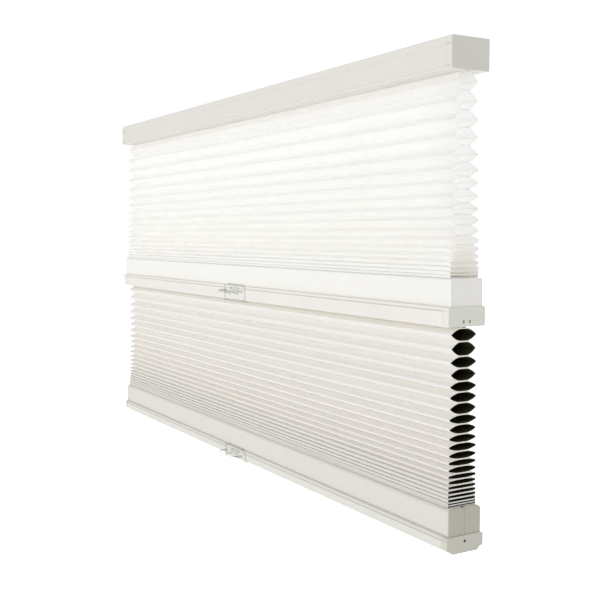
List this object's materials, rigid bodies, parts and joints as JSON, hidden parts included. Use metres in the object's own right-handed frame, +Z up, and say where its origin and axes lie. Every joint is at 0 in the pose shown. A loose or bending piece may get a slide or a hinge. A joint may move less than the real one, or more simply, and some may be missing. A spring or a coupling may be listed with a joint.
{
  "type": "cordless day-and-night honeycomb blind",
  "caption": "Cordless honeycomb window blind: sheer cells over blackout cells, hung from a head rail, with a sliding middle rail and bottom rail, each with a clear handle.",
  "frame": {"origin": "middle of the head rail's flat top face, where the rail meets its ceiling or wall brackets", "axes": "+X along the rails to the right as seen from the room, +Y towards the window, +Z up"},
  "size_m": [0.97, 0.0701, 0.5413],
  "materials": {
    "rail_paint": "extruded aluminium, white powder coat",
    "cap_plastic": "moulded white plastic",
    "side_plate_plastic": "moulded pale grey plastic",
    "upper_cover_cloth": "extruded plastic faced with white cloth",
    "lower_cover_cloth": "extruded plastic faced with off-white cloth",
    "sheer_fabric": "thin white non-woven cloth that lets light through",
    "blackout_fabric": "off-white non-woven cloth with a black lining inside the cells",
    "clear_plastic": "clear moulded plastic",
    "lift_cord": "braided polyester cord",
    "shaft_steel": "drawn steel",
    "spring_steel": "tempered spring strip",
    "strip_plastic": "flat plastic strip",
    "mechanism_plastic": "moulded acetal"
  },
  "bodies": {
    "head": {"head_rail": "rail_paint", "head_end_cap_left": "cap_plastic", "head_end_cap_right": "cap_plastic", "head_fabric_strip": "strip_plastic", "head_cord_anchor_left": "mechanism_plastic", "head_cord_anchor_right": "mechanism_plastic", "upper_fabric": "sheer_fabric", "upper_lift_cord_left": "lift_cord", "upper_lift_cord_right": "lift_cord"},
    "mid_rail": {"mid_rail": "rail_paint", "mid_cover": "upper_cover_cloth", "mid_end_cap_left": "cap_plastic", "mid_end_cap_right": "cap_plastic", "mid_side_plate_left": "side_plate_plastic", "mid_side_plate_right": "side_plate_plastic", "mid_handle": "clear_plastic", "mid_upper_strip": "strip_plastic", "mid_lower_strip": "strip_plastic", "mid_cradle_left": "mechanism_plastic", "mid_cradle_right": "mechanism_plastic", "mid_motor_case": "mechanism_plastic", "mid_motor_lid": "mechanism_plastic", "mid_storage_axle": "shaft_steel", "mid_drive_spring": "spring_steel", "mid_cord_anchor_left": "mechanism_plastic", "mid_cord_anchor_right": "mechanism_plastic", "lower_fabric": "blackout_fabric", "lower_lift_cord_left": "lift_cord", "lower_lift_cord_right": "lift_cord"},
    "mid_lift": {"mid_lift_shaft": "shaft_steel", "mid_spool_left": "mechanism_plastic", "mid_spool_right": "mechanism_plastic", "mid_output_drum": "mechanism_plastic"},
    "mid_storage": {"mid_storage_drum": "mechanism_plastic"},
    "bottom_rail": {"bottom_rail": "rail_paint", "bottom_cover": "lower_cover_cloth", "bottom_end_cap_left": "cap_plastic", "bottom_end_cap_right": "cap_plastic", "bottom_side_plate_left": "side_plate_plastic", "bottom_side_plate_right": "side_plate_plastic", "bottom_handle": "clear_plastic", "bottom_upper_strip": "strip_plastic", "bottom_cradle_left": "mechanism_plastic", "bottom_cradle_right": "mechanism_plastic", "bottom_motor_case": "mechanism_plastic", "bottom_motor_lid": "mechanism_plastic", "bottom_storage_axle": "shaft_steel", "bottom_drive_spring": "spring_steel"},
    "bottom_lift": {"bottom_lift_shaft": "shaft_steel", "bottom_spool_left": "mechanism_plastic", "bottom_spool_right": "mechanism_plastic", "bottom_output_drum": "mechanism_plastic"},
    "bottom_storage": {"bottom_storage_drum": "mechanism_plastic"}
  },
  "joints": [
    {"name": "mid_slide", "type": "slide", "parent": "head", "child": "mid_rail", "axis": [0, 0, 1], "range_m": [0, 0.182], "deforming": ["upper_fabric", "upper_lift_cord_left", "upper_lift_cord_right"]},
    {"name": "bottom_slide", "type": "slide", "parent": "mid_rail", "child": "bottom_rail", "axis": [0, 0, 1], "range_m": [0, 0.155], "deforming": ["lower_fabric", "lower_lift_cord_left", "lower_lift_cord_right"]},
    {"name": "mid_lift_spin", "type": "hinge", "parent": "mid_rail", "child": "mid_lift", "pos_m": [0, 0.0069, -0.26665], "axis": [1, 0, 0], "range_deg": [0, 1580]},
    {"name": "mid_storage_spin", "type": "hinge", "parent": "mid_rail", "child": "mid_storage", "pos_m": [0, -0.0098, -0.26665], "axis": [1, 0, 0], "range_deg": [0, 1430]},
    {"name": "bottom_lift_spin", "type": "hinge", "parent": "bottom_rail", "child": "bottom_lift", "pos_m": [0, 0.0069, -0.51065], "axis": [1, 0, 0], "range_deg": [0, 1350]},
    {"name": "bottom_storage_spin", "type": "hinge", "parent": "bottom_rail", "child": "bottom_storage", "pos_m": [0, -0.0098, -0.51065], "axis": [1, 0, 0], "range_deg": [0, 1215]}
  ],
  "couplings": [
    {"joint": "mid_lift_spin", "follows": "mid_slide", "rad_per_m": 151.52},
    {"joint": "mid_storage_spin", "follows": "mid_slide", "rad_per_m": 136.73},
    {"joint": "bottom_lift_spin", "follows": "bottom_slide", "rad_per_m": 151.52},
    {"joint": "bottom_storage_spin", "follows": "bottom_slide", "rad_per_m": 136.73}
  ]
}
